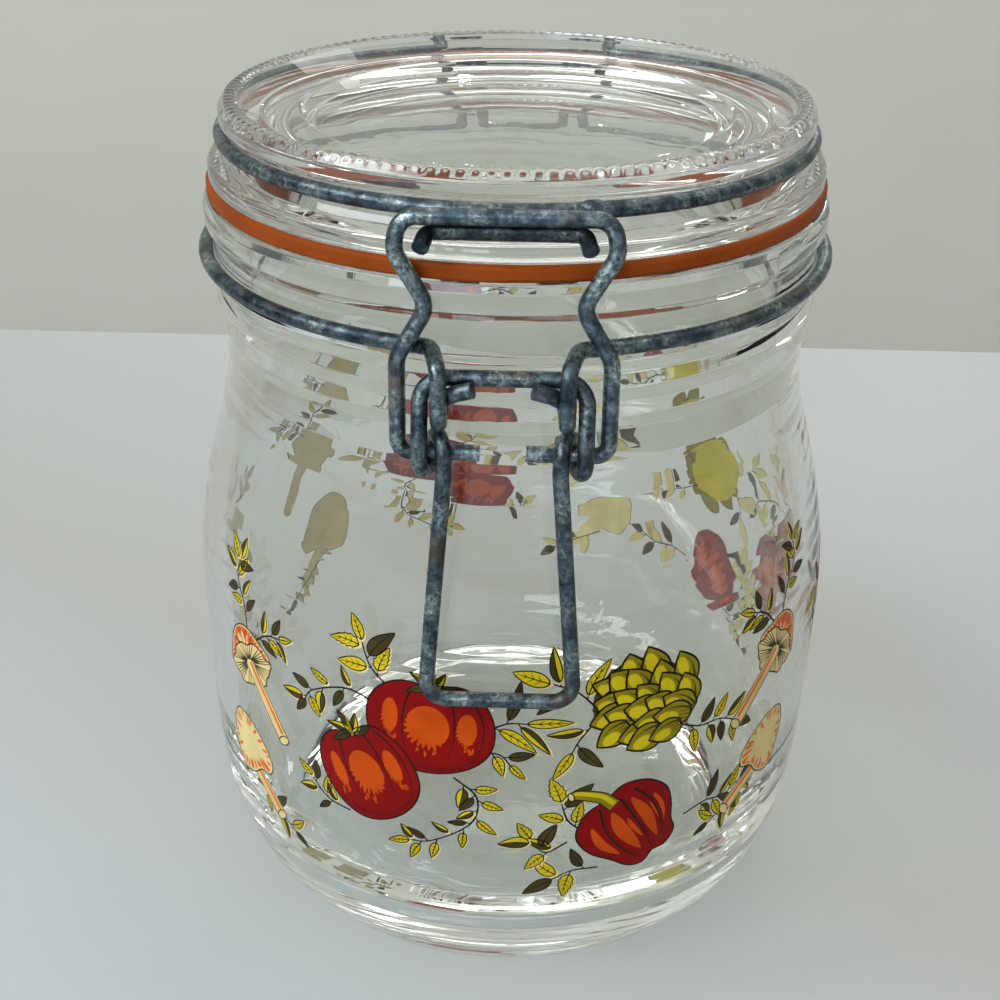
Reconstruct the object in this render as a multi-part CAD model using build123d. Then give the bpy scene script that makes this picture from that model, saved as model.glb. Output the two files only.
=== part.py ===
from build123d import *
from math import atan2, pi, radians, sin, sqrt, tan
import os

# Lidded glass canister: a round jar closed by a glass lid, a rubber ring and a wire clamp.
# Millimetres, +Z up. The origin is on the jar's axis at the level it stands on, the latch
# faces -Y and the lid's hinge is at +Y. Every piece is symmetric about the plane X = 0.

# ---- driving dimensions ----------------------------------------------------------------
RING_R = 55.0          # sealing ring, outer radius: the 110 mm size that such jars take
RING_BORE_R = 47.2
RING_T = 2.75
RIM_Z = 138.8          # top land of the jar, where the sealing ring sits
LID_TOP_Z = 155.0      # crest of the beaded edge of the lid
WIRE_R = 1.3           # all the clamp's wires are 2.6 mm
FIT = 0.08             # radial running clearance where a wire turns inside a coil
SEAT_GAP = 0.05        # between pieces that only rest on each other

BODY_R = 61.9          # widest part of the jar
NECK_R = 53.5          # narrowest part, under the ridges of the neck
BASE_T = 9.0           # thick glass base, measured up to the inner floor
PUSH_UP = 3.0          # hollow under the base
MOUTH_R = 48.6

LID_WIRE_R = 51.8      # centreline radius of the wire in the lid's groove
LID_WIRE_Z = 148.9
NECK_WIRE_R = 55.9     # centreline radius of the wire round the neck
NECK_WIRE_Z = 128.6

HINGE_Y, HINGE_Z = 60.5, 138.5         # the lid's hinge line
HINGE_BAR_X = 17.8                     # half length of the lid wire's hinge bar

BAIL_TOP_Y, BAIL_TOP_Z = -54.9, 149.0  # bar of the bail that presses on the catch
CATCH_Y, CATCH_Z = -53.9, 146.45
PIVOT_Y, PIVOT_Z = -57.6, 124.8        # the lever turns here, inside the neck wire's eyes
PIN_Y, PIN_Z = -58.0, 112.4            # the bail turns here, inside the lever's coils
LEVER_END_Y, LEVER_END_Z = -63.2, 69.4
LEG_X = 12.75                          # outer legs of the lever
EYE_X = 9.75                           # eyes of the neck wire
COIL_R = 2 * WIRE_R + FIT              # centreline radius of a coil round a wire


# ---- helpers ---------------------------------------------------------------------------
def rounded(corners):
    """Edges along (x, y, z, radius) corners, each inner corner turned on its own radius."""
    points = [Vector(*c[:3]) for c in corners]
    edges, here = [], points[0]
    for before, corner, after, radius in zip(points, points[1:], points[2:],
                                             [c[3] for c in corners[1:]]):
        if radius == 0:
            edges.append(Line(here, corner))
            here = corner
            continue
        come, leave = (before - corner).normalized(), (after - corner).normalized()
        half = radians(come.get_angle(leave)) / 2
        run = radius / tan(half)
        middle = (come + leave).normalized() * (radius / sin(half) - radius)
        start, end = corner + come * run, corner + leave * run
        edges += [Line(here, start), ThreePointArc(start, corner + middle, end)]
        here = end
    return edges + [Line(here, points[-1])]


def coil(start, x_to, axis_y, axis_z, half_turns, rising):
    """Half-turn arcs round an axis along X, each carried sideways, from a point beside it."""
    edges, here = [], Vector(*start)
    step = (x_to - here.X) / half_turns
    for _ in range(half_turns):
        there = Vector(here.X + step, 2 * axis_y - here.Y, here.Z)
        reach = (there - here).length / 2 * (1 if rising else -1)
        edges.append(ThreePointArc(here, (here + there) / 2 + Vector(0, 0, reach), there))
        here, rising = there, not rising
    return edges


def rod(edges):
    """Round wire swept along a smooth run of edges."""
    path = Wire(edges)
    section = Plane(origin=path @ 0, z_dir=path % 0) * Circle(WIRE_R)
    return sweep(section, path=path)


def both_sides(half):
    """The half at X > 0 joined to its mirror image."""
    return half + mirror(half, about=Plane.YZ)


def turned(corners):
    """Solid of revolution from (radius, z, corner radius) points."""
    edges = rounded([(r, 0, z, bend) for r, z, bend in corners])
    edges.append(Line(edges[-1] @ 1, edges[0] @ 0))
    return revolve(make_face(edges), Axis.Z)


def ring_arc(radius, z, x_front, x_back):
    """Arc of a ring at X > 0, from its front end to its back end."""
    first = -90 + atan2(x_front, sqrt(radius ** 2 - x_front ** 2)) * 180 / pi
    last = 90 - atan2(x_back, sqrt(radius ** 2 - x_back ** 2)) * 180 / pi
    return CenterArc((0, 0, z), radius, first, last - first)


def off_ring(radius, z, x_end, x_to, front):
    """Point at X = x_to on the ring's tangent through its end at x_end."""
    y_end = sqrt(radius ** 2 - x_end ** 2)
    y = y_end + (x_end - x_to) * x_end / y_end
    return (x_to, -y if front else y, z)


# ---- glass -----------------------------------------------------------------------------
def make_jar():
    """Jar body: a bulging wall on a thick base, a ridged neck and a flat sealing land."""
    outside = [(53.0, 0.9), (57.4, 8.0), (60.2, 17.0), (61.4, 29.0), (61.8, 46.0),
               (BODY_R, 61.0), (60.9, 75.0), (57.9, 89.0), (55.2, 99.0), (NECK_R, 108.0)]
    neck = [(NECK_R, 108.0, 0), (NECK_R, 113.5, 1.5), (54.1, 115.8, 0.8), (53.7, 118.4, 0.8),
            (54.8, 121.0, 0.8), (54.1, 123.4, 0.8), (55.3, 125.8, 0.6), (54.5, 127.0, 0.6),
            (54.5, 132.6, 0.8), (55.8, 134.4, 0.8), (55.8, 137.4, 0.8), (55.2, RIM_Z, 0.5),
            (MOUTH_R + 0.3, RIM_Z, 0.8), (MOUTH_R, 136.0, 1), (MOUTH_R, 112.0, 0)]
    inner = [(MOUTH_R, 112.0), (50.9, 100.0), (53.8, 89.0), (56.9, 75.0), (57.9, 61.0),
             (57.8, 46.0), (57.2, 30.0), (54.6, 19.0), (49.5, 11.6), (44.0, BASE_T)]
    edges = [Spline([(r, 0, z) for r, z in outside])]
    edges += rounded([(r, 0, z, bend) for r, z, bend in neck])
    edges.append(Spline([(r, 0, z) for r, z in inner]))
    edges += rounded([(44.0, 0, BASE_T, 0), (0, 0, BASE_T, 0)])
    edges += rounded([(0, 0, BASE_T, 0), (0, 0, PUSH_UP, 0)])
    edges += rounded([(0, 0, PUSH_UP, 0), (38.0, 0, PUSH_UP, 8), (46.5, 0, 0, 3),
                      (51.8, 0, 0, 1.2), (53.0, 0, 0.9, 0)])
    return revolve(make_face(edges), Axis.Z)


def make_lid():
    """Lid: beaded rim round a sunk panel, a groove for its wire, a flange and a plug."""
    groove = WIRE_R + SEAT_GAP
    seat = RIM_Z + SEAT_GAP + RING_T
    return turned([
        (0, 150.2, 0), (35.6, 150.2, 1.2), (37.8, 151.8, 1.2), (44.5, 151.8, 2.5),
        (48.6, 154.2, 1), (49.4, LID_TOP_Z, 0.5), (50.8, LID_TOP_Z, 0.7), (52.1, 153.2, 1.0),
        (52.0, 151.2, 0.8), (51.0, LID_WIRE_Z + groove, 0.3),
        (LID_WIRE_R - groove, LID_WIRE_Z + groove * 0.8, 0.9),
        (LID_WIRE_R - groove, LID_WIRE_Z - groove * 0.8, 0.9),
        (51.0, LID_WIRE_Z - groove, 0.4), (52.2, 145.7, 0.8), (54.5, 144.7, 1.3),
        (54.5, seat, 0.6), (RING_BORE_R - 0.6, seat, 0), (RING_BORE_R - 0.6, 137.2, 1.2),
        (43.6, 137.2, 1.2), (41.8, 145.2, 2.5), (0, 145.2, 0)])


def make_sealing_ring():
    """Flat rubber ring between the jar's land and the lid's flange."""
    low = RIM_Z + SEAT_GAP
    high = low + RING_T
    return turned([(RING_BORE_R, low, 0), (RING_R, low, 0.7), (RING_R, high, 0.7),
                   (RING_BORE_R, high, 0)])


# ---- wires -----------------------------------------------------------------------------
def make_neck_wire():
    """Wire round the neck: an eye each side of the latch, a coil each side of the hinge."""
    ring_x_front, ring_x_back = 16.0, 17.4
    coil_x_out, coil_x_in = 14.5, 10.0
    eye_front_y, eye_low_z = -61.0, 118.2
    tip = (4.6, -60.7, 124.2)
    eye = rounded([
        (*tip, 0), (7.4, -60.1, 123.2, 1.5), (9.3, PIVOT_Y, 121.0, 1.0),
        (EYE_X, PIVOT_Y, eye_low_z, 1.5), (EYE_X, eye_front_y, eye_low_z, 1.5),
        (EYE_X, eye_front_y, 127.4, 2.2),
        (*off_ring(NECK_WIRE_R, NECK_WIRE_Z, ring_x_front, 11.2, True), 2.2),
        (*off_ring(NECK_WIRE_R, NECK_WIRE_Z, ring_x_front, ring_x_front, True), 0)])
    inner, outer = HINGE_Y - COIL_R, HINGE_Y + COIL_R
    rise = rounded([
        (*off_ring(NECK_WIRE_R, NECK_WIRE_Z, ring_x_back, ring_x_back, False), 0),
        (*off_ring(NECK_WIRE_R, NECK_WIRE_Z, ring_x_back, coil_x_out, False), 1.9),
        (coil_x_out, inner, 134.0, 3.0), (coil_x_out, inner, HINGE_Z, 0)])
    fall = rounded([
        (coil_x_in, outer, HINGE_Z, 0), (coil_x_in, outer, 131.0, 3.0),
        (coil_x_in - 0.6, 56.3, NECK_WIRE_Z, 1.9), (0, 56.3, NECK_WIRE_Z, 0)])
    turns = coil((coil_x_out, inner, HINGE_Z), coil_x_in, HINGE_Y, HINGE_Z, 3, True)
    ring = ring_arc(NECK_WIRE_R, NECK_WIRE_Z, ring_x_front, ring_x_back)
    return both_sides(rod(eye + [ring] + rise + turns + fall))


def make_lid_wire():
    """Wire in the lid's groove, carried back and down to a straight hinge bar."""
    ring_x = HINGE_BAR_X + 2.6
    start = CenterArc((0, 0, LID_WIRE_Z), LID_WIRE_R, -90, 10)
    ring = ring_arc(LID_WIRE_R, LID_WIRE_Z, LID_WIRE_R * sin(radians(10)), ring_x)
    tail = rounded([
        (*off_ring(LID_WIRE_R, LID_WIRE_Z, ring_x, ring_x, False), 0),
        (*off_ring(LID_WIRE_R, LID_WIRE_Z, ring_x, HINGE_BAR_X, False), 1.9),
        (HINGE_BAR_X, 57.0, LID_WIRE_Z, 3.5), (HINGE_BAR_X, HINGE_Y, HINGE_Z, 1.9),
        (0, HINGE_Y, HINGE_Z, 0)])
    return both_sides(rod([start, ring] + tail))


def make_catch():
    """Short catch wire under the lid wire, held to it by two welds."""
    half = rod(rounded([(0, CATCH_Y, CATCH_Z, 0), (11.6, CATCH_Y, CATCH_Z, 2.0),
                        (12.4, CATCH_Y - 3.3, CATCH_Z - 1.5, 0)]))
    weld_x, weld_r = 8.0, 0.9
    wire_y = -sqrt(LID_WIRE_R ** 2 - weld_x ** 2)
    foot = Vector(weld_x, CATCH_Y, CATCH_Z)
    reach = Vector(weld_x, wire_y, LID_WIRE_Z) - foot
    stem = Plane(origin=foot, z_dir=reach) * Cylinder(
        weld_r, reach.length - WIRE_R - weld_r * 0.35,
        align=(Align.CENTER, Align.CENTER, Align.MIN))
    return both_sides(half + stem)


def make_bail():
    """Clamp bail: a waisted loop whose two ends turn inward as pins for the lever's coils."""
    def on_plane(z):
        share = (z - PIN_Z) / (BAIL_TOP_Z - PIN_Z)
        return PIN_Y + (BAIL_TOP_Y - PIN_Y) * share

    side = [(0, BAIL_TOP_Z, 0), (15.6, BAIL_TOP_Z, 3.2), (16.6, 144.0, 4.0),
            (11.5, 135.6, 3.5), (16.3, 127.5, 5.0), (16.3, PIN_Z, 2.1), (3.6, PIN_Z, 0)]
    return both_sides(rod(rounded([(x, on_plane(z), z, bend) for x, z, bend in side])))


def make_lever():
    """Lever: crossbar in the neck wire's eyes, a coil round each bail pin, a long loop."""
    inner_x, tip_x = 9.0, 12.3
    front = PIN_Y - COIL_R
    top = rounded([(0, PIVOT_Y, PIVOT_Z, 0), (LEG_X, PIVOT_Y, PIVOT_Z, 4.0),
                   (LEG_X, front, 115.4, 4.0), (LEG_X, front, PIN_Z, 0)])
    turn = coil((LEG_X, front, PIN_Z), inner_x, PIN_Y, PIN_Z, 2, False)
    loop = rounded([(inner_x, front, PIN_Z, 0), (inner_x, front, 110.0, 4.0),
                    (tip_x, LEVER_END_Y, LEVER_END_Z, 3.4), (0, LEVER_END_Y, LEVER_END_Z, 0)])
    return both_sides(rod(top + turn + loop))


PARTS = {
    "jar_body": make_jar,
    "lid": make_lid,
    "sealing_ring": make_sealing_ring,
    "neck_wire": make_neck_wire,
    "lid_wire": make_lid_wire,
    "catch_bar": make_catch,
    "clamp_bail": make_bail,
    "lever": make_lever,
}

os.makedirs("parts", exist_ok=True)
for node, make in PARTS.items():
    part = make()
    part.label = node
    export_step(part, f"parts/{node}.step")
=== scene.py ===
import math
import random

import bpy
import numpy as np
from mathutils import Matrix, Vector
from mathutils.geometry import delaunay_2d_cdt


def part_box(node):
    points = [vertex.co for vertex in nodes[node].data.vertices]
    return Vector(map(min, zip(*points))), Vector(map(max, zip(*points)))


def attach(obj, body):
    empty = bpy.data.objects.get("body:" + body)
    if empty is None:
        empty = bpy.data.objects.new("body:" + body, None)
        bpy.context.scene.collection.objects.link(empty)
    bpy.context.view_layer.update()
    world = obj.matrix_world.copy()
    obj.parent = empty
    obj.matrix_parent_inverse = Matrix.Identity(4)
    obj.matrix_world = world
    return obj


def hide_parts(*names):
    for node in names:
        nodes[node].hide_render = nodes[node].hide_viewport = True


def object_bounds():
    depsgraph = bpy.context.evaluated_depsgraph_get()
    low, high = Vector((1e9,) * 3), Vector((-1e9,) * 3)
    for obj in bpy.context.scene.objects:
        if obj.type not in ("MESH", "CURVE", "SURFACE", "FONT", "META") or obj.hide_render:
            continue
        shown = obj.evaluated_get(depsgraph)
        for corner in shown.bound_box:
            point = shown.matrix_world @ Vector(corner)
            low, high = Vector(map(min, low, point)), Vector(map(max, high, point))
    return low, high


# Lidded glass canister: pressed glass jar and lid, orange rubber ring, galvanised wire
# clamp, and a band of enamel vegetables fired on the outside of the glass.

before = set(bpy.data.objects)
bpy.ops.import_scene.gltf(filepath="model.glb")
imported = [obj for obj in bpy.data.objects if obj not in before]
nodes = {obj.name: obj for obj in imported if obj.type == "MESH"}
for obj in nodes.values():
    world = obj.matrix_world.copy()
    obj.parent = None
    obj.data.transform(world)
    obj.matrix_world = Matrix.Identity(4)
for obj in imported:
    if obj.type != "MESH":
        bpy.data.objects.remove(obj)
cad_low, cad_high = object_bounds()
MM = 0.001
DEG = math.pi / 180


# ---- materials -------------------------------------------------------------------------
class Material:
    """A Principled material, with short ways to add noise, ramps, mixes and bump to it."""

    def __init__(self, name):
        self.made = bpy.data.materials.new(name)
        self.made.use_nodes = True
        self.tree = self.made.node_tree
        self.shader = self.tree.nodes["Principled BSDF"]
        self.place = self.node("TexCoord").outputs["Object"]

    def node(self, kind):
        return self.tree.nodes.new("ShaderNode" + kind)

    def link(self, source, socket):
        self.tree.links.new(source, socket)

    def fixed(self, socket, value):
        self.shader.inputs[socket].default_value = value

    def drive(self, socket, source):
        self.link(source, self.shader.inputs[socket])

    def noise(self, scale, detail=4.0, rough=0.55):
        node = self.node("TexNoise")
        node.inputs["Scale"].default_value = scale
        node.inputs["Detail"].default_value = detail
        node.inputs["Roughness"].default_value = rough
        self.link(self.place, node.inputs["Vector"])
        return node.outputs["Fac"]

    def ramp(self, fac, *stops):
        node = self.node("ValToRGB")
        bar = node.color_ramp.elements
        while len(bar) < len(stops):
            bar.new(0.5)
        for element, (at, colour) in zip(bar, stops):
            element.position = at
            grey = isinstance(colour, (int, float))
            element.color = (colour, colour, colour, 1) if grey else (*colour, 1)
        self.link(fac, node.inputs["Fac"])
        return node.outputs["Color"]

    def mix(self, fac, a, b):
        node = self.node("Mix")
        node.data_type = "RGBA"
        self.link(fac, node.inputs[0])
        self.link(a, node.inputs[6])
        self.link(b, node.inputs[7])
        return node.outputs[2]

    def bump(self, height, strength, distance):
        node = self.node("Bump")
        node.inputs["Strength"].default_value = strength
        node.inputs["Distance"].default_value = distance
        self.link(height, node.inputs["Height"])
        self.drive("Normal", node.outputs["Normal"])


def glass(name, tint):
    """Clear pressed glass. It lets shadow and diffuse rays straight through, so the table
    and the far print are lit without caustics."""
    m = Material(name)
    m.fixed("Base Color", (*tint, 1))
    m.fixed("Transmission Weight", 1.0)
    m.fixed("IOR", 1.5)
    m.drive("Roughness", m.ramp(m.noise(28, 5), (0.45, 0.0), (0.8, 0.045)))
    m.bump(m.noise(85, 2), 0.12, 0.0004)
    path, clear = m.node("LightPath"), m.node("BsdfTransparent")
    clear.inputs["Color"].default_value = (0.95, 0.965, 0.955, 1)
    surface = m.shader.outputs["BSDF"]
    for ray in ("Is Shadow Ray", "Is Diffuse Ray"):
        either = m.node("MixShader")
        m.link(path.outputs[ray], either.inputs[0])
        m.link(surface, either.inputs[1])
        m.link(clear.outputs["BSDF"], either.inputs[2])
        surface = either.outputs["Shader"]
    m.link(surface, m.tree.nodes["Material Output"].inputs["Surface"])
    return m.made


def galvanised(name, shift, dim=1.0):
    """Old hot-dip zinc: dark blue-grey skin, paler crystals, specks, a little brown."""
    m = Material(name)

    def tone(*colour):
        return tuple(c * dim for c in colour)

    skin = m.ramp(m.noise(330 + shift, 6, 0.7), (0.36, tone(0.012, 0.019, 0.028)),
                  (0.52, tone(0.045, 0.066, 0.086)), (0.64, tone(0.13, 0.165, 0.185)))
    bright = m.ramp(m.noise(1250 + shift, 5, 0.75), (0.40, tone(0.035, 0.050, 0.060)),
                    (0.56, tone(0.24, 0.29, 0.28)), (0.66, tone(0.52, 0.58, 0.55)))
    patch = m.ramp(m.noise(150 + shift, 4, 0.6), (0.46, 0.03), (0.62, 0.85))
    rust = m.ramp(m.noise(520 - shift, 5), (0.3, tone(0.09, 0.045, 0.022)),
                  (0.7, tone(0.20, 0.125, 0.07)))
    where = m.ramp(m.noise(82 - shift / 4, 4), (0.60, 0.0), (0.70, 0.5))
    m.drive("Base Color", m.mix(where, m.mix(patch, skin, bright), rust))
    m.drive("Metallic", m.ramp(m.noise(160, 3), (0.35, 0.70), (0.65, 0.95)))
    m.drive("Roughness", m.ramp(m.noise(420, 6), (0.35, 0.22), (0.65, 0.46)))
    m.bump(m.noise(1500, 5, 0.65), 0.5, 0.00018)
    return m.made


def rubber(name):
    m = Material(name)
    m.drive("Base Color", m.ramp(m.noise(60, 5, 0.6), (0.3, (0.20, 0.036, 0.002)),
                                 (0.7, (0.29, 0.054, 0.004))))
    m.drive("Roughness", m.ramp(m.noise(180, 4), (0.3, 0.42), (0.7, 0.6)))
    m.fixed("Specular IOR Level", 0.1)
    m.bump(m.noise(900, 5), 0.25, 0.0001)
    return m.made


def enamel(name, dark, light, rough):
    m = Material(name)
    m.drive("Base Color", m.ramp(m.noise(130, 5, 0.6), (0.32, dark), (0.68, light)))
    m.drive("Roughness", m.ramp(m.noise(420, 3), (0.3, rough - 0.08), (0.7, rough + 0.14)))
    m.fixed("Specular IOR Level", 0.09)
    m.bump(m.noise(1400, 4), 0.2, 0.00005)
    return m.made


def wall_paint():
    m = Material("wall_paint")
    m.drive("Base Color", m.ramp(m.noise(3.2, 3), (0.3, (0.60, 0.61, 0.54)),
                                 (0.7, (0.64, 0.65, 0.58))))
    m.fixed("Roughness", 0.8)
    return m.made


def table_painted_light_and_shade():
    """Table top with painted light and shade: cooler and paler toward its near left, as if lit
    there, and warmer and darker behind the jar, as painted shade.
    """
    m = Material("table_painted_light_and_shade")
    across, share = m.node("VectorMath"), m.node("MapRange")
    across.operation = "DOT_PRODUCT"
    across.inputs[1].default_value = (0.6, 1.0, 0.0)
    m.link(m.place, across.inputs[0])
    share.inputs["From Min"].default_value, share.inputs["From Max"].default_value = -0.3, 0.3
    m.link(across.outputs["Value"], share.inputs["Value"])
    # the ramp paints light on the near left of the table and shade behind the jar
    m.drive("Base Color", m.ramp(share.outputs["Result"],
                                 (0.08, (0.495, 0.535, 0.585)), (0.30, (0.440, 0.465, 0.485)),
                                 (0.52, (0.385, 0.388, 0.365)), (0.80, (0.445, 0.458, 0.448))))
    m.fixed("Roughness", 0.5)
    return m.made


# ---- turned glass ----------------------------------------------------------------------
def add_mesh(name, points, faces, material, smooth=False):
    mesh = bpy.data.meshes.new(name)
    mesh.from_pydata(points, [], faces)
    mesh.update()
    mesh.polygons.foreach_set("use_smooth", [smooth] * len(mesh.polygons))
    made = bpy.data.objects.new(name, mesh)
    bpy.context.scene.collection.objects.link(made)
    made.data.materials.append(material)
    return made


def meridian(node):
    """(radius, z) points of a turned CAD node, read along its seam in the plane y = 0."""
    mesh = nodes[node].data
    at = {v.index: (round(v.co.x, 6), round(v.co.z, 6)) for v in mesh.vertices
          if abs(v.co.y) < 1e-6 and v.co.x > 0}
    links = {}
    for a, b in (e.vertices for e in mesh.edges):
        if a in at and b in at and at[a] != at[b]:
            links.setdefault(at[a], set()).add(at[b])
            links.setdefault(at[b], set()).add(at[a])
    ends = sorted((p for p, near in links.items() if len(near) == 1), key=lambda p: p[1])
    here, last, line = ends[0], None, [ends[0]]
    while True:
        onward = [p for p in links[here] if p != last]
        if not onward or (len(line) > 1 and len(links[here]) == 1):
            return np.array(line)
        last, here = here, onward[0]
        line.append(here)


def densify(line, longest, near_corner=0.00012):
    """Adds points to long straight runs, close to their ends first, so corners stay crisp."""
    out = [line[0]]
    for a, b in zip(line, line[1:]):
        gap = float(np.hypot(*(b - a)))
        if gap > 6 * near_corner:
            count = max(1, math.ceil((gap - 2 * near_corner) / longest))
            first = near_corner / gap
            steps = np.linspace(first, 1 - first, count + 1)
            out += [a + (b - a) * s for s in steps]
        out.append(b)
    return np.array(out)


def ripple(phi, z, seed, modes=((2, 9), (3, 16), (5, 24), (8, 41), (11, 60))):
    """Gentle unevenness of hand-fed pressed glass, from about -1 to 1."""
    draw = random.Random(seed)
    total = 0.0
    for turns, rise in modes:
        total = total + np.cos(turns * phi + draw.uniform(0.6, 1.4) * rise * z
                               + draw.uniform(0, 6.28)) / (1 + 0.16 * turns)
    return total / 2.6


OUTER_WAVE, OUTER_MODES = 0.000035, ((2, 9), (3, 16), (5, 24))
NECK_MODES = ((1, 420), (2, 760), (4, 980), (7, 620), (12, 1250))


def turn_mesh(name, line, segments, shape, material):
    """Revolves an open profile that starts and ends beside the axis; shape() moves points."""
    count = len(line)
    phi = np.linspace(0, 2 * math.pi, segments, endpoint=False)[:, None]
    r = np.repeat(line[None, :, 0], segments, 0)
    z = np.repeat(line[None, :, 1], segments, 0)
    r, z = shape(phi, r, z)
    points = np.stack([r * np.sin(phi), -r * np.cos(phi), z], 2).reshape(-1, 3)
    first, last = len(points), len(points) + 1
    points = np.vstack([points, [(0, 0, z[:, 0].mean()), (0, 0, z[:, -1].mean())]])
    faces = []
    for i in range(segments):
        j = (i + 1) % segments
        a, b = i * count, j * count
        faces += [(a + k, b + k, b + k + 1, a + k + 1) for k in range(count - 1)]
        faces += [(b, a, first), (a + count - 1, b + count - 1, last)]
    made = add_mesh(name, points.tolist(), faces, material, True)
    made.data.validate()
    return made


def smoothstep(x, low, high):
    t = np.clip((x - low) / (high - low), 0, 1)
    return t * t * (3 - 2 * t)


jar_line = meridian("jar_body")
rim_at = int(jar_line[:, 1].argmax())
OUTSIDE = jar_line[:rim_at + 1]


def outer_radius(z):
    """Radius of the jar's outer side at a height, without its foot and its mouth."""
    side = OUTSIDE[OUTSIDE[:, 1].argsort()]
    keep = side[:, 0] > 0.846 * side[:, 0].max()
    return np.interp(z, side[keep, 1], side[keep, 0])


def jar_shape(phi, r, z):
    """Unevenness of the jar: most on its inner face and neck, little under the print.
    Each band is 0 to 1 and fades between the two heights or radii given, in metres."""
    out = outer_radius(z)
    inner = smoothstep(out - r, 0.0015, 0.0035) * smoothstep(z, 0.0085, 0.014)
    body = 1 - smoothstep(z, 0.100, 0.112)
    r = r + inner * (0.15 + 0.85 * body) * 0.00022 * ripple(phi, z, 3)
    outside = (1 - inner) * body * smoothstep(z, 0.004, 0.012)
    r = r + outside * OUTER_WAVE * ripple(phi, z, 5, OUTER_MODES)
    neck = smoothstep(z, 0.092, 0.108) * (1 - smoothstep(z, 0.128, 0.136))
    r = r + inner * neck * 0.00020 * ripple(phi, z, 21, NECK_MODES)
    r = r + (1 - inner) * neck * 0.00005 * ripple(phi, z, 22, NECK_MODES)
    floor = (1 - smoothstep(r, 0.036, 0.044)) * smoothstep(z, 0.006, 0.008)
    return r, z + floor * 0.00012 * ripple(phi, r, 8)


jar = turn_mesh("jar_glass", densify(jar_line, 0.0022), 256, jar_shape,
                glass("glass_jar", (0.885, 0.895, 0.868)))
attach(jar, "jar")
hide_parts("jar_body")

BEADS = 140
lid_line = meridian("lid")
lid_top = float(lid_line[:, 1].max())
lid_seat = float(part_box("sealing_ring")[1].z) + 0.00005


def lid_shape(phi, r, z):
    """Beads on the crest, a rough underside to the flange, and uneven panel and wall."""
    crest = smoothstep(z, lid_top - 0.0009, lid_top - 0.0002) * (
        smoothstep(r, 0.0486, 0.0491) - smoothstep(r, 0.0507, 0.0513))
    valley = 1 - np.abs(np.cos(BEADS * phi / 2)) ** 0.6
    z = z - crest * valley * 0.00027
    under = smoothstep(r, 0.0472, 0.0480) * (1 - smoothstep(z, lid_seat + 0.00005,
                                                            lid_seat + 0.0002))
    z = z + under * (1 - smoothstep(r, 0.0528, 0.0536)) * 0.00009 * (
        1 + ripple(phi, r, 31, ((9, 900), (17, 1500), (31, 2400))))
    panel = 1 - smoothstep(r, 0.030, 0.036)
    z = z + panel * 0.00012 * ripple(phi, r * 4, 12)
    wall = smoothstep(r, 0.040, 0.046) * smoothstep(lid_top - z, 0.004, 0.008)
    return r + wall * 0.00003 * ripple(phi, z, 14), z


lid = turn_mesh("lid_glass", densify(lid_line, 0.003, 0.0002), BEADS * 6, lid_shape,
                glass("glass_lid", (0.80, 0.81, 0.785)))
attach(lid, "closure")
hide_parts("lid")


# ---- rubber and wire -------------------------------------------------------------------
ring = nodes["sealing_ring"]
ring.data.materials.clear()
ring.data.materials.append(rubber("orange_rubber"))

for shift, name in enumerate(("neck_wire", "lid_wire", "catch_bar", "clamp_bail", "lever")):
    wire = nodes[name]
    wire.data.materials.clear()
    # the catch bar's colours are scaled to 0.45 as painted shade, for the shadow it lies in
    # under the bail; the clamp bail's are scaled up to 1.3
    dim = {"catch_bar": 0.45, "clamp_bail": 1.3}.get(name, 1.0)
    wire.data.materials.append(galvanised(f"zinc_{name}", 17 * shift, dim))


def weld(name, at, size, seed, body):
    """Uneven lump of weld metal on a wire."""
    rings, around, draw = 9, 16, random.Random(seed)
    bumps = [(draw.uniform(2, 5), draw.uniform(0, 6.28), draw.uniform(1, 3)) for _ in range(5)]
    points = []
    for i in range(rings):
        tilt = math.pi * (i + 0.5) / rings
        for j in range(around):
            turn = 2 * math.pi * j / around
            swell = 1 + 0.09 * sum(math.sin(f * turn + p + g * tilt) for f, p, g in bumps)
            points.append((at[0] + size[0] * swell * math.cos(tilt),
                           at[1] + size[1] * swell * math.sin(tilt) * math.cos(turn),
                           at[2] + size[2] * swell * math.sin(tilt) * math.sin(turn)))
    faces = [(i * around + j, i * around + (j + 1) % around, (i + 1) * around
              + (j + 1) % around, (i + 1) * around + j)
             for i in range(rings - 1) for j in range(around)]
    faces += [tuple(range(around))[::-1], tuple((rings - 1) * around + j for j in range(around))]
    made = add_mesh(name, points, faces, galvanised("zinc_" + name, 40 + seed), True)
    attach(made, body)


# on top of the lid wire, above the right end of the catch
WIRE = 1.3 * MM
wire_low, wire_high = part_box("lid_wire")
ring_r = (wire_high.x - wire_low.x) / 2 - WIRE
lump_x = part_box("catch_bar")[1].x - WIRE
weld("wire_weld", (lump_x, -math.sqrt(ring_r ** 2 - lump_x ** 2) - 0.3 * MM,
                   wire_high.z - WIRE + 0.4 * MM),
     (1.9 * MM, 1.4 * MM, 1.5 * MM), 3, "closure")


# ---- enamel print ----------------------------------------------------------------------
# Every shape is drawn flat, as complex numbers x + iy in millimetres, then wrapped on the
# jar. Cells of the wrap are flat in angle, so the thin layers never cross each other.
CELL_U, CELL_V = 2.1, 2.5         # cells of the wrap, round the jar and up it
REF_R = 61.9                      # radius at which drawn widths are true
LIFT, STEP = 0.055, 0.0020        # of the lowest ink layer off the glass, and between layers


class Ink:
    def __init__(self, name, dark, light, rough=0.38):
        self.name, self.points, self.faces = name, [], []
        self.material = enamel(name, dark, light, rough)


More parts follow.
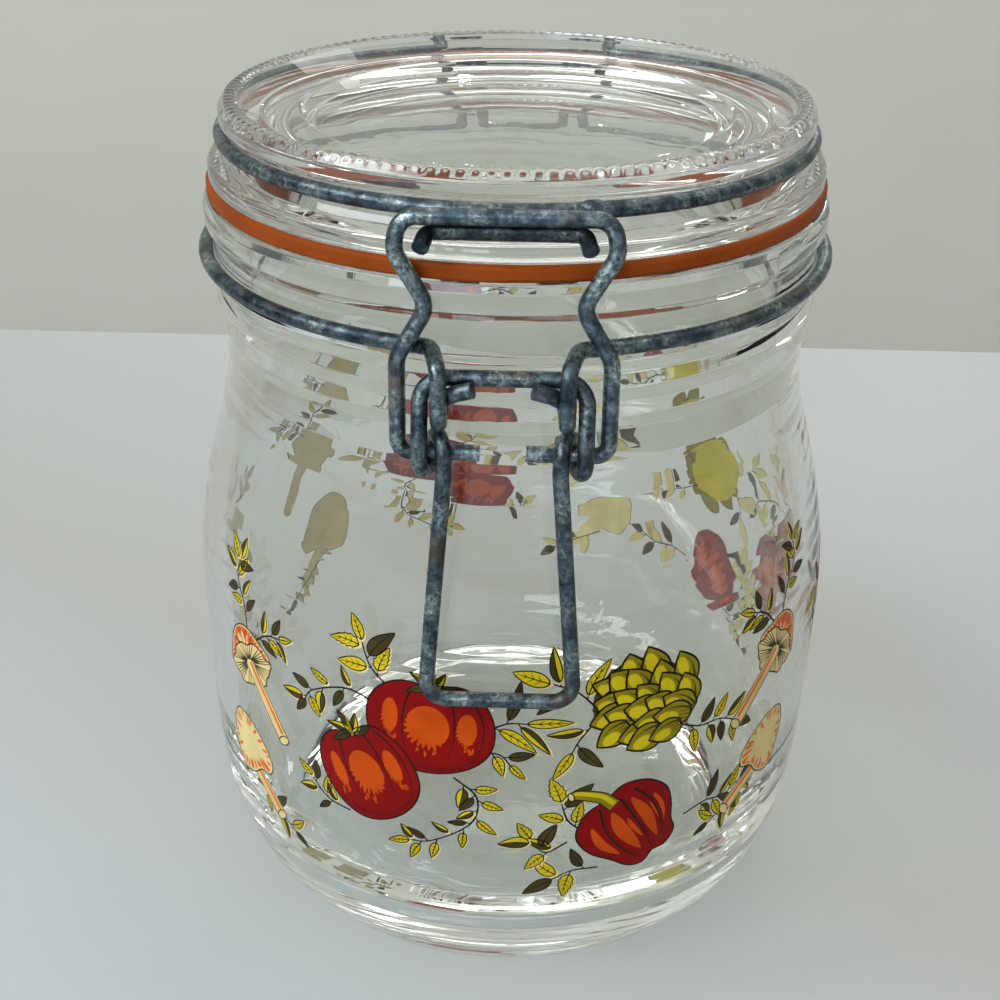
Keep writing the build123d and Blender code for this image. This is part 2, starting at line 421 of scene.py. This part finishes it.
INKS = {
    "line": Ink("print_outline", (0.008, 0.005, 0.003), (0.016, 0.010, 0.006)),
    "shade": Ink("print_dark_olive", (0.040, 0.030, 0.007), (0.066, 0.050, 0.010)),
    "olive": Ink("print_olive", (0.20, 0.155, 0.003), (0.28, 0.22, 0.005)),
    "leaf": Ink("print_leaf_yellow", (0.50, 0.38, 0.006), (0.64, 0.49, 0.012)),
    "cream": Ink("print_cream", (0.62, 0.48, 0.19), (0.74, 0.59, 0.27)),
    "coral": Ink("print_coral", (0.62, 0.10, 0.022), (0.74, 0.15, 0.035)),
    "orange": Ink("print_orange", (0.44, 0.050, 0.001), (0.56, 0.074, 0.002), 0.34),
    "red": Ink("print_red", (0.185, 0.0010, 0.0010), (0.24, 0.002, 0.0015), 0.34),
    "deep": Ink("print_deep_red", (0.12, 0.0015, 0.001), (0.17, 0.003, 0.002), 0.34),
}


corner_points = {}


def corner(column, row):
    """Where a corner of the wrap's cells lies on the glass, and which way is outward."""
    if (column, row) not in corner_points:
        phi, z = column * CELL_U / REF_R, row * CELL_V * MM
        out = np.array((math.sin(phi), -math.cos(phi), 0))
        r = outer_radius(z) + OUTER_WAVE * ripple(phi, z, 5, OUTER_MODES)
        corner_points[column, row] = (out * r + (0, 0, z), out)
    return corner_points[column, row]


def wrap(u, v, level):
    """Point on the jar's outside for a drawn point, lifted by the ink layers under it."""
    column, row = math.floor(u / CELL_U), math.floor(v / CELL_V)
    s, t = u / CELL_U - column, v / CELL_V - row
    point = np.zeros(3)
    for i, j, share in ((0, 0, (1 - s) * (1 - t)), (1, 0, s * (1 - t)), (0, 1, (1 - s) * t),
                        (1, 1, s * t)):
        base, out = corner(column + i, row + j)
        point += share * (base + out * (LIFT + level * STEP) * MM)
    return tuple(point)


def lay(ink, outline, level, place):
    """Adds one flat area, cut along the wrap's cell lines, to an ink's mesh."""
    outline = place(np.asarray(outline))
    u, v = outline.real, outline.imag
    points = [Vector((a, b)) for a, b in zip(u, v)]
    edges = [(i, (i + 1) % len(points)) for i in range(len(points))]
    for k in range(math.ceil(u.min() / CELL_U), math.floor(u.max() / CELL_U) + 1):
        edges.append((len(points), len(points) + 1))
        points += [Vector((k * CELL_U, v.min() - 1)), Vector((k * CELL_U, v.max() + 1))]
    for k in range(math.ceil(v.min() / CELL_V), math.floor(v.max() / CELL_V) + 1):
        edges.append((len(points), len(points) + 1))
        points += [Vector((u.min() - 1, k * CELL_V)), Vector((u.max() + 1, k * CELL_V))]
    cut = delaunay_2d_cdt(points, edges, [], 0, 1e-5, False)
    flat, tris = np.array([tuple(p) for p in cut[0]]), np.array(cut[2])
    centre = (flat[tris].mean(1) @ (1, 1j))[:, None]
    swing = np.angle((np.roll(outline, -1)[None] - centre) / (outline[None] - centre))
    tris = tris[np.abs(swing.sum(1)) > math.pi]
    start = len(ink.points)
    ink.points += [wrap(a, b, level) for a, b in flat]
    ink.faces += [tuple(int(start + i) for i in t) for t in tris]


def curve(points, per=6, closed=False):
    """Smooth run through complex points."""
    p = [complex(q) for q in points]
    p = [p[-1], *p, p[0], p[1]] if closed else [2 * p[0] - p[1], *p, 2 * p[-1] - p[-2]]
    out = []
    for a, b, c, d in zip(p, p[1:], p[2:], p[3:]):
        for t in np.arange(per) / per:
            out.append(0.5 * (2 * b + (c - a) * t + (2 * a - 5 * b + 4 * c - d) * t ** 2
                              + (3 * b - 3 * c + d - a) * t ** 3))
    if not closed:
        out.append(p[-2])
    return np.array(out)


def ribbon(line, start, end=None, middle=None):
    """Outline of a stroke along a run, from one width to another."""
    line = np.asarray(line)
    end = start if end is None else end
    t = np.linspace(0, 1, len(line))
    width = start + (end - start) * t
    if middle is not None:
        width = width + (middle - (start + end) / 2) * 4 * t * (1 - t)
    along = np.gradient(line)
    side = 1j * along / np.maximum(np.abs(along), 1e-9) * width / 2
    return np.concatenate([line + side, (line - side)[::-1]])


class Drawing:
    """A motif's own plane: turned, sized and put at an angle round the jar and a height."""

    def __init__(self, degrees, height, turn=0.0, size=1.0, flip=False, seed=0, base=0):
        self.at = degrees * DEG * REF_R + 1j * height
        self.turn = np.exp(1j * turn * DEG) * size
        self.flip, self.level, self.draw = flip, base, random.Random(seed)

    def place(self, points):
        points = np.conj(-points) if self.flip else points
        return self.at + points * self.turn

    def fill(self, ink, outline, level):
        lay(INKS[ink], outline, self.level + level, self.place)

    def stroke(self, line, width, end=None, level=3, ink="line", middle=None):
        self.fill(ink, ribbon(line, width, end, middle), level)

    def rim(self, outline, width=0.3, level=3):
        self.stroke(np.append(outline, outline[:1]), width, level=level)


def leaf(d, base, angle, length, width, look="half", bend=0.12, level=0):
    """Pointed leaf from its base, in one of the looks half, dark, light or toothed."""
    t = np.linspace(0, 1, 17)
    heading = np.exp(1j * angle * DEG)
    spine = base + heading * length * (t + 1j * bend * t * t * 1.6)
    half = width / 2 * np.sin(math.pi * t ** 0.72) ** 0.85
    if look == "toothed":
        half = half * (1.0 + 0.42 * ((t * 5) % 1.0 - 0.4) * (t < 0.97))
    side = 1j * heading * half
    outline = np.concatenate([spine + side, (spine - side)[::-1][1:-1]])
    if look != "dark":
        d.fill("cream", (outline - outline.mean()) * 1.10 + outline.mean()
               + d.draw.uniform(0.15, 0.4) - 0.2j, level)
    d.fill("shade" if look == "dark" else "leaf", outline, level + 1)
    if look == "half":
        d.fill("shade", np.concatenate([spine + side, spine[::-1][1:-1] - side[::-1][1:-1]
                                        * 0.12]), level + 2)
    d.rim(outline, 0.24, level + 3)
    d.stroke(spine[:-2], 0.26, 0.12, level + 3)
    if look in ("light", "toothed"):
        for k in (4, 7, 10):
            for way in (1, -1):
                d.stroke([spine[k], spine[k + 2] + way * side[k + 2] * 0.72], 0.17, 0.06,
                         level + 3)


def sprig(d, points, count=6, size=5.0, looks=("half", "dark", "light"), level=0,
          first=0.25, wide=0.42):
    """Curved stem with leaves on alternate sides and one at its end."""
    line = curve(points, 8)
    d.stroke(line, 0.38, 0.24, level + 1)
    for k in range(count):
        at = first + (1 - first) * k / max(count - 1, 1)
        i = min(int(at * (len(line) - 1)), len(line) - 2)
        way = 0 if k == count - 1 else (1 if k % 2 else -1)
        heading = math.degrees(np.angle(line[i + 1] - line[i]))
        long = size * d.draw.uniform(0.8, 1.15)
        stalk = line[i]
        if way:
            tip = stalk + np.exp(1j * (heading + way * 55) * DEG) * 0.9
            d.stroke([stalk, tip], 0.24, level=level + 1)
            stalk = tip
        leaf(d, stalk, heading + way * d.draw.uniform(38, 62), long,
             long * wide * d.draw.uniform(0.85, 1.15), looks[k % len(looks)],
             way * 0.1 + d.draw.uniform(-0.08, 0.08), level + 2 + 4 * (k % 2))


def ragged(d, ink, at, wide, tall, turn, level):
    """Patch of highlight with a clean upper edge and a brushed lower one."""
    a = np.linspace(0, 2 * math.pi, 72, endpoint=False)
    reach = np.ones(72)
    for k in range(72):
        low = max(0.0, -math.sin(a[k] + 0.5))
        reach[k] += low * (d.draw.uniform(-0.02, 0.24) if k % 3 else -d.draw.uniform(0.08, 0.3))
    heading = np.exp(1j * turn * DEG)
    d.fill(ink, at + heading * (wide * np.cos(a) + 1j * tall * np.sin(a)) * reach, level)
    for _ in range(4):
        across = d.draw.uniform(-0.8, 0.8)
        start = at + heading * complex(wide * across, -tall * d.draw.uniform(0.95, 1.2))
        end = start + heading * complex(d.draw.uniform(-0.5, 0.5), -d.draw.uniform(0.8, 1.8))
        d.stroke(curve([start, (start + end) / 2 + 0.1, end], 3), 0.12, 0.1, level, ink, 0.5)


def tomato(d, at, rx, ry, turn, level, calyx=5):
    heading = np.exp(1j * turn * DEG)
    a = np.linspace(0, 2 * math.pi, 72, endpoint=False)
    x = rx * np.sign(np.cos(a)) * np.abs(np.cos(a)) ** 0.92
    y = ry * np.sign(np.sin(a)) * np.abs(np.sin(a)) ** 0.92
    away = (a - math.pi / 2 + math.pi) % (2 * math.pi) - math.pi
    y = y - 0.15 * ry * np.exp(-(away / 0.34) ** 2) - 0.03 * ry * np.cos(3 * a)
    body = at + heading * (x + 1j * y)
    patches = ((-0.62, 0.08, 0.13, 0.36), (-0.02, 0.0, 0.34, 0.44), (0.58, 0.06, 0.15, 0.34))
    for px, py, pw, ph in patches:
        ragged(d, "orange", at + heading * complex(px * rx, py * ry), pw * rx * 1.25,
               ph * ry * 1.2, turn, level)
    d.fill("red", body, level + 1)
    for px, py, pw, ph in patches:
        ragged(d, "orange", at + heading * complex(px * rx, py * ry), pw * rx, ph * ry,
               turn, level + 2)
    d.rim(body, 0.34, level + 3)
    s = np.linspace(0.80, -0.62, 18)
    for side in (-0.40, 0.38, 0.80):
        rib = at + heading * (side * rx * np.sqrt(1 - s ** 2) * 1.05 + 1j * s * ry)
        d.stroke(rib, 0.42, 0.10, level + 3)
    under = np.exp(1j * np.linspace(-2.7, -0.5, 24))
    d.stroke(at + heading * (0.93 * rx * under.real + 0.90j * ry * under.imag), 0.1, 0.1,
             level + 2, "deep", 0.9)
    crown = at + heading * complex(0.02 * rx, 0.80 * ry)
    for k in range(calyx):
        spread = turn + 90 + (k - (calyx - 1) / 2) * 46
        leaf(d, crown, spread, ry * d.draw.uniform(0.36, 0.5), ry * 0.17,
             "half" if k % 2 else "dark", 0.15, level + 4 + k)
    d.stroke([crown, crown + heading * complex(0.3, ry * 0.3)], 0.8, 0.5, level + 12, "olive")


def bract(d, tip_at, turn, long, wide, level):
    """One scale of the artichoke: olive, lit on one side, hatched to its base."""
    t = np.linspace(0, 1, 11)
    heading = np.exp(1j * turn * DEG)
    half = wide / 2 * np.sin(math.pi * (0.10 + 0.90 * t) ** 0.9) ** 0.9
    half[-1] = 0
    spine = tip_at - heading * long * (1 - t)
    outline = np.concatenate([spine + 1j * heading * half,
                              (spine - 1j * heading * half)[::-1][1:]])
    d.fill("olive", outline, level)
    centre = tip_at - heading * long * 0.42
    lit = centre + heading * (long * 0.27 * np.cos(2 * math.pi * t[:-1])
                              + 1j * wide * 0.22 * np.sin(2 * math.pi * t[:-1])) \
        + 1j * heading * wide * 0.08
    d.fill("leaf", lit, level + 1)
    d.stroke(spine[:8] - 1j * heading * half[:8] * 0.55, 0.5, 0.1, level + 1, "shade")
    for k in (-0.55, -0.2, 0.15, 0.5):
        foot = tip_at - heading * long * 0.95 + 1j * heading * wide * 0.4 * k
        d.stroke([foot, foot + heading * long * d.draw.uniform(0.22, 0.42)], 0.2, 0.05,
                 level + 2)
    d.rim(outline, 0.40, level + 2)


def artichoke(d, radius, turn, level=0):
    """Globe of overlapping scales; the stalk is opposite the way it points."""
    heading = np.exp(1j * turn * DEG)
    a = np.linspace(0, 2 * math.pi, 48, endpoint=False)
    ball = heading * radius * (0.93 * np.cos(a) + 0.86j * np.sin(a))
    d.fill("leaf", ball, level)
    d.fill("shade", ball, level + 1)
    stalk = curve([-heading * radius * 0.7, -heading * radius * 1.18], 4)
    d.stroke(stalk, 3.6, 3.4, level + 2, "olive")
    for off in (-1.6, -0.6, 0.4, 1.2, 1.7):
        d.stroke(stalk + 1j * heading * off, 0.25, 0.15, level + 3)
    k = level + 4
    for row, (along, count, fan) in enumerate(((1.06, 3, 0.42), (0.90, 4, 0.80), (0.62, 5, 1.02),
                                               (0.28, 4, 0.86), (-0.02, 5, 1.06),
                                               (-0.34, 4, 0.74))):
        for i in range(count):
            share = (i - (count - 1) / 2) / ((count - 1) / 2) + d.draw.uniform(-0.09, 0.09)
            tip = heading * radius * complex(along - 0.24 * share ** 2, fan * share)
            bract(d, tip, turn + 50 * share + d.draw.uniform(-10, 10),
                  radius * d.draw.uniform(0.66, 0.80), radius * d.draw.uniform(0.48, 0.60), k)
            k += 3


def pepper(d, size, turn, level=0):
    """Bell pepper seen from its shoulder side, with ribbed lobes and a cut stalk."""
    heading = np.exp(1j * turn * DEG)
    shape = [(-0.15, 0.86), (0.22, 0.98), (0.62, 0.80), (0.86, 0.42), (0.84, 0.02),
             (0.70, -0.36), (0.66, -0.66), (0.40, -0.84), (0.14, -0.80), (-0.10, -0.92),
             (-0.36, -0.80), (-0.58, -0.46), (-0.86, -0.06), (-0.92, 0.40), (-0.60, 0.76)]
    body = heading * size * curve([complex(*p) for p in shape], 5, True)
    lobes = (((-0.62, 0.40), (-0.60, -0.02), (-0.40, -0.44)),
             ((-0.18, 0.52), (-0.16, 0.02), (-0.02, -0.58)),
             ((0.24, 0.60), (0.34, 0.10), (0.34, -0.54)),
             ((0.62, 0.40), (0.64, 0.06), (0.54, -0.34)))
    for depth in (0, 2):
        for i, lobe in enumerate(lobes):
            line = heading * size * curve([complex(*p) for p in lobe], 5)
            d.stroke(line, 0.5, 0.3, level + depth, "orange", size * (0.17, 0.26, 0.22, 0.12)[i])
            if i in (1, 2):
                d.stroke(line[3:-2] + heading * size * 0.19, 0.3, 0.2, level + depth, "orange",
                         size * 0.09)
    d.fill("red", body, level + 1)
    d.rim(body, 0.36, level + 3)
    for lobe in (((-0.34, 0.74), (-0.42, 0.20), (-0.34, -0.30), (-0.14, -0.74)),
                 ((0.06, 0.72), (0.12, 0.26), (0.16, -0.20), (0.16, -0.70)),
                 ((0.36, 0.78), (0.52, 0.34), (0.54, -0.10), (0.44, -0.60))):
        line = heading * size * curve([complex(*p) for p in lobe], 6)
        d.stroke(line + 0.25, 0.8, 0.3, level + 3, "deep", 1.0)
        d.stroke(line, 0.4, 0.12, level + 4)
    stem = heading * size * curve([-0.08 + 0.66j, -0.22 + 0.96j, -0.52 + 1.22j, -0.66 + 1.26j],
                                  5)
    d.stroke(stem, 2.9, 2.0, level + 5, "line")
    d.stroke(stem, 2.4, 1.5, level + 6, "olive")
    d.stroke(stem + 0.35j, 1.0, 0.8, level + 7, "leaf")
    a = np.linspace(0, 2 * math.pi, 14, endpoint=False)
    cut = stem[-1] + np.exp(1j * (np.angle(stem[-1] - stem[-3]))) * (
        0.55 * np.cos(a) + 1j * 0.95 * np.sin(a))
    d.fill("cream", cut, level + 8)
    d.rim(cut, 0.26, level + 9)


def stipe(d, start, end, thick, level):
    """Mushroom stem with a coral stripe and an oval cut end."""
    line = curve([start, (start + end) / 2 + 0.3, end], 6)
    d.stroke(line, thick + 0.6, thick * 1.15 + 0.6, level - 1, "cream")
    d.stroke(line, thick + 0.35, thick * 1.15 + 0.35, level, "line")
    d.stroke(line, thick - 0.1, thick * 1.1 - 0.1, level + 1, "cream")
    way = (end - start) / abs(end - start)
    d.stroke(line[:-1] + 1j * way * thick * 0.18, thick * 0.34, thick * 0.3, level + 2, "coral")
    d.stroke(line[2:-3] - 1j * way * thick * 0.26, 0.15, 0.1, level + 3, "coral")
    a = np.linspace(0, 2 * math.pi, 18, endpoint=False)
    cut = end + way * (thick * 0.36 * np.cos(a) + 1j * thick * 0.60 * np.sin(a))
    d.fill("cream", cut, level + 4)
    d.rim(cut, 0.24, level + 5)


def streaks(d, outline, centre, level, share=0.42, count=26):
    """Short coral brush marks running in from a cap's edge."""
    for k in range(count):
        edge = outline[int(k * len(outline) / count)]
        reach = share * d.draw.uniform(0.4, 1.15)
        start = edge + (centre - edge) * 0.08
        end = edge + (centre - edge) * reach
        d.stroke(curve([start, (start + end) / 2, end], 3), 0.5, 0.08, level, "coral", 0.7)


def dome(d, at, wide, tall, turn, level, stem=None):
    """Mushroom seen from the side: a cream dome, brushed coral at its edges."""
    heading = np.exp(1j * turn * DEG)
    shape = [(-1, -0.15), (-0.93, 0.30), (-0.62, 0.74), (-0.05, 1.0), (0.56, 0.78), (0.92, 0.34),
             (1.0, -0.12), (0.70, -0.34), (0.25, -0.26), (-0.25, -0.34), (-0.70, -0.30)]
    cap = at + heading * curve([complex(wide * x, tall * y) for x, y in shape], 4, True)
    if stem:
        stipe(d, at - heading * 0.3j * tall, at + heading * stem, 2.6, level)
    d.fill("cream", cap, level + 6)
    streaks(d, cap, at + heading * 0.35j * tall, level + 7)
    d.rim(cap, 0.28, level + 8)


def parasol(d, at, wide, turn, stem, level):
    """Mushroom seen from below: coral cap behind, gills round the stem in front."""
    heading = np.exp(1j * turn * DEG)
    shape = [(-1.0, -0.1), (-0.80, 0.55), (-0.30, 1.05), (0.30, 1.05), (0.80, 0.55), (1.0, -0.1)]
    cap = at + heading * wide * curve([complex(x, y * 0.95) for x, y in shape], 5, True)
    d.fill("cream", cap, level)
    streaks(d, cap, at + heading * wide * 0.3j, level + 1, 0.75, 38)
    d.rim(cap, 0.28, level + 2)
    a = np.linspace(0, 2 * math.pi, 40, endpoint=False)
    frill = 1 + 0.07 * np.cos(6 * a + 0.6) + 0.04 * np.cos(11 * a)
    gills = at - heading * 0.12j * wide + heading * wide * 1.02 * (
        np.cos(a) + 0.62j * np.sin(a)) * frill
    d.fill("cream", gills, level + 3)
    hub = at - heading * 0.05j * wide
    for k in range(34):
        edge = gills[(k * 40 // 34) % 40]
        d.stroke([hub + (edge - hub) * 0.16, hub + (edge - hub) * 0.96],
                 0.34, 0.14, level + 4, "line" if k % 2 else "shade")
    d.rim(gills, 0.3, level + 5)
    stipe(d, hub, hub + heading * stem, 2.5, level + 7)


def tomatoes(degrees, height, seed=1, **more):
    d = Drawing(degrees, height, seed=seed, **more)
    sprig(d, [-4 + 12j, -7 + 15j, -9 + 20j], 5, 6.0, ("toothed", "light", "dark"))
    sprig(d, [-6 + 8j, -12 + 9j, -19 + 6j, -21 + 3j], 8, 4.4, ("half", "dark", "light"))
    sprig(d, [13 + 5j, 17 + 7j, 21 + 7j], 4, 8.0, ("light", "dark", "half"), wide=0.26)
    sprig(d, [13 + 1j, 16 + 0.5j, 18 - 2j], 3, 4.0, ("light", "dark"))
    sprig(d, [8 - 5j, 12 - 9j, 11 - 15j, 4 - 20j, -1 - 21j], 14, 4.0,
          ("half", "light", "dark", "light"), first=0.1)
    sprig(d, [-12 - 18j, -17 - 17j, -21 - 13j], 6, 3.8, ("half", "dark", "light"))
    tomato(d, 3.7 + 5j, 11.4, 9.7, -3, 12)
    tomato(d, -8 - 7.6j, 9.6, 10.2, 22, 34)


def thistle(degrees, height, seed=2, **more):
    d = Drawing(degrees, height, seed=seed, **more)
    sprig(d, [-8 + 0j, -12 + 4j, -17 + 6j], 4, 6.4, ("light", "dark", "half"), wide=0.36)
    sprig(d, [-8 - 2j, -11 - 6j, -12.5 - 9j], 3, 7.0, ("half", "dark", "light"), wide=0.34)
    sprig(d, [6 - 6j, 12 - 9j, 17 - 9.5j, 22 - 12j], 8, 4.6, ("light", "dark", "half"))
    artichoke(d, 9.8, 152, 10)


def capsicum(degrees, height, seed=3, **more):
    d = Drawing(degrees, height, seed=seed, **more)
    sprig(d, [-9 + 1j, -12 + 4j, -13.5 + 9j], 4, 5.6, ("toothed", "light", "dark"))
    sprig(d, [-12 - 1j, -16 - 3j, -19 + 1j], 5, 5.0, ("half", "toothed", "dark"))
    sprig(d, [-6 - 8j, -11 - 8j, -15 - 10j], 4, 5.4, ("dark", "toothed", "light"))
    sprig(d, [11 - 1j, 16 + 0j, 21 - 1j, 26 + 1j], 8, 5.2, ("half", "dark", "light"))
    pepper(d, 10.4, 24, 10)


def mushrooms(degrees, height, seed=4, **more):
    d = Drawing(degrees, height, seed=seed, **more)
    sprig(d, [1 + 8j, 0 + 13j, -3 + 18j, -2 + 22j], 9, 4.4, ("dark", "light", "half"))
    sprig(d, [3 + 7j, 7 + 10j, 11 + 11j], 6, 4.2, ("dark", "half", "light"))
    sprig(d, [0 - 26j, 6 - 29j, 12 - 33j], 5, 4.4, ("light", "dark", "half"))
    parasol(d, 1.2 + 2.0j, 6.6, 26, 2.6 - 15.5j, 12)
    dome(d, -0.5 - 21j, 6.6, 10, 26, 12, stem=3 - 12j)


tomatoes(-14.6, 56.5)
thistle(23, 65.5)
capsicum(22.5, 38)
mushrooms(-49.5, 58.5)
mushrooms(54, 62, seed=9, flip=True, turn=-10)
tomatoes(92, 58, seed=11, flip=True)
thistle(128, 64, seed=12)
capsicum(126, 36, seed=13)
mushrooms(160, 60, seed=14)
tomatoes(-163, 56, seed=15)
mushrooms(-129, 66, seed=16, size=1.15)
mushrooms(-91, 60, seed=18, flip=True)

for ink in INKS.values():
    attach(add_mesh(ink.name, ink.points, ink.faces, ink.material), "jar")


# ---- stage -----------------------------------------------------------------------------
table_back, wall_y = cad_high.y + 0.195, 1.1
add_mesh("table", [(-1.6, -1.6, 0), (1.6, -1.6, 0), (1.6, table_back, 0),
                            (-1.6, table_back, 0)], [(0, 1, 2, 3)], table_painted_light_and_shade())
add_mesh("wall", [(-3, wall_y, -1.5), (3, wall_y, -1.5), (3, wall_y, 2.2),
                           (-3, wall_y, 2.2)], [(0, 1, 2, 3)], wall_paint())


def lamp(name, at, target, size, power, colour=(1, 1, 1)):
    light = bpy.data.lights.new(name, "AREA")
    light.shape, light.size, light.size_y = "RECTANGLE", size[0], size[1]
    light.energy, light.color = power, colour
    made = bpy.data.objects.new(name, light)
    made.location = at
    made.rotation_mode = "QUATERNION"
    made.rotation_quaternion = (Vector(target) - Vector(at)).to_track_quat("-Z", "Y")
    bpy.context.scene.collection.objects.link(made)


middle = (0, 0, cad_high.z / 2)
lamp("window_left", (-1.1, -0.5, 1.2), middle, (0.9, 0.7), 14, (0.94, 0.98, 1.0))
lamp("ceiling", (0.35, 0.1, 1.7), middle, (2.4, 2.0), 10, (1.0, 0.985, 0.95))
lamp("window_front", (-0.7, -1.5, 1.0), (0, -0.4, 0), (1.1, 0.8), 18, (0.80, 0.91, 1.0))
lamp("window_back", (0.2, 1.0, 1.15), middle, (0.8, 0.35), 2.5, (1.0, 0.99, 0.97))
lamp("bulb_one", (-0.062, 0.95, 0.41), middle, (0.008, 0.008), 0.02, (1.0, 0.98, 0.92))
lamp("bulb_two", (0.095, 0.95, 0.41), middle, (0.008, 0.008), 0.02, (1.0, 0.93, 0.80))
lamp("window_right", (0.33, 0.95, 0.45), middle, (0.14, 0.12), 0.5, (0.97, 0.99, 1.0))

world = bpy.data.worlds.new("room")
world.use_nodes = True
tree = world.node_tree
back = tree.nodes["Background"]
back.inputs["Strength"].default_value = 0.52
# darker furniture low on the left and right, which the glass draws as lines along its edges
way, axes = tree.nodes.new("ShaderNodeTexCoord"), tree.nodes.new("ShaderNodeSeparateXYZ")
tree.links.new(way.outputs["Generated"], axes.inputs[0])


def fade(axis, start, end):
    """0 to 1 as a ray's direction along an axis goes from start to end."""
    node = tree.nodes.new("ShaderNodeMapRange")
    node.inputs["From Min"].default_value, node.inputs["From Max"].default_value = start, end
    tree.links.new(axes.outputs[axis], node.inputs["Value"])
    return node.outputs["Result"]


light_wall, colour = (0.82, 0.82, 0.80, 1), None
for start, end, tone in ((-0.80, -0.93, (0.10, 0.115, 0.13, 1)),
                         (0.86, 0.95, (0.34, 0.35, 0.35, 1))):
    both, blend = tree.nodes.new("ShaderNodeMath"), tree.nodes.new("ShaderNodeMix")
    both.operation, blend.data_type = "MULTIPLY", "RGBA"
    tree.links.new(fade("X", start, end), both.inputs[0])
    tree.links.new(fade("Z", 0.36, 0.22), both.inputs[1])
    tree.links.new(both.outputs["Value"], blend.inputs["Factor"])
    blend.inputs[6].default_value, blend.inputs[7].default_value = light_wall, tone
    if colour is not None:
        tree.links.new(colour, blend.inputs[6])
    colour = blend.outputs[2]
tree.links.new(colour, back.inputs["Color"])
bpy.context.scene.world = world


# ---- camera ----------------------------------------------------------------------------
camera = bpy.data.objects.new("camera", bpy.data.cameras.new("camera"))
bpy.context.scene.collection.objects.link(camera)
camera.data.sensor_width = 36
camera.data.lens = 53.5
camera.data.clip_start, camera.data.clip_end = 0.01, 20
AZIMUTH, HEADING, PITCH, ROLL = 1.4 * DEG, 1.9 * DEG, 28.53 * DEG, 0.6 * DEG
DISTANCE, EYE = 0.2632, 0.2158
camera.rotation_mode = "QUATERNION"
camera.location = (DISTANCE * math.sin(AZIMUTH), -DISTANCE * math.cos(AZIMUTH), EYE)
ahead = Vector((-math.sin(HEADING) * math.cos(PITCH), math.cos(HEADING) * math.cos(PITCH),
                -math.sin(PITCH)))
camera.rotation_quaternion = (ahead.to_track_quat("-Z", "Y")
                              @ Matrix.Rotation(ROLL, 3, "Z").to_quaternion())
bpy.context.scene.camera = camera

bpy.context.scene.view_settings.view_transform = "Standard"
cycles = bpy.context.scene.cycles
cycles.max_bounces = cycles.transmission_bounces = 28
cycles.glossy_bounces, cycles.transparent_max_bounces = 16, 20
cycles.caustics_refractive = cycles.caustics_reflective = False
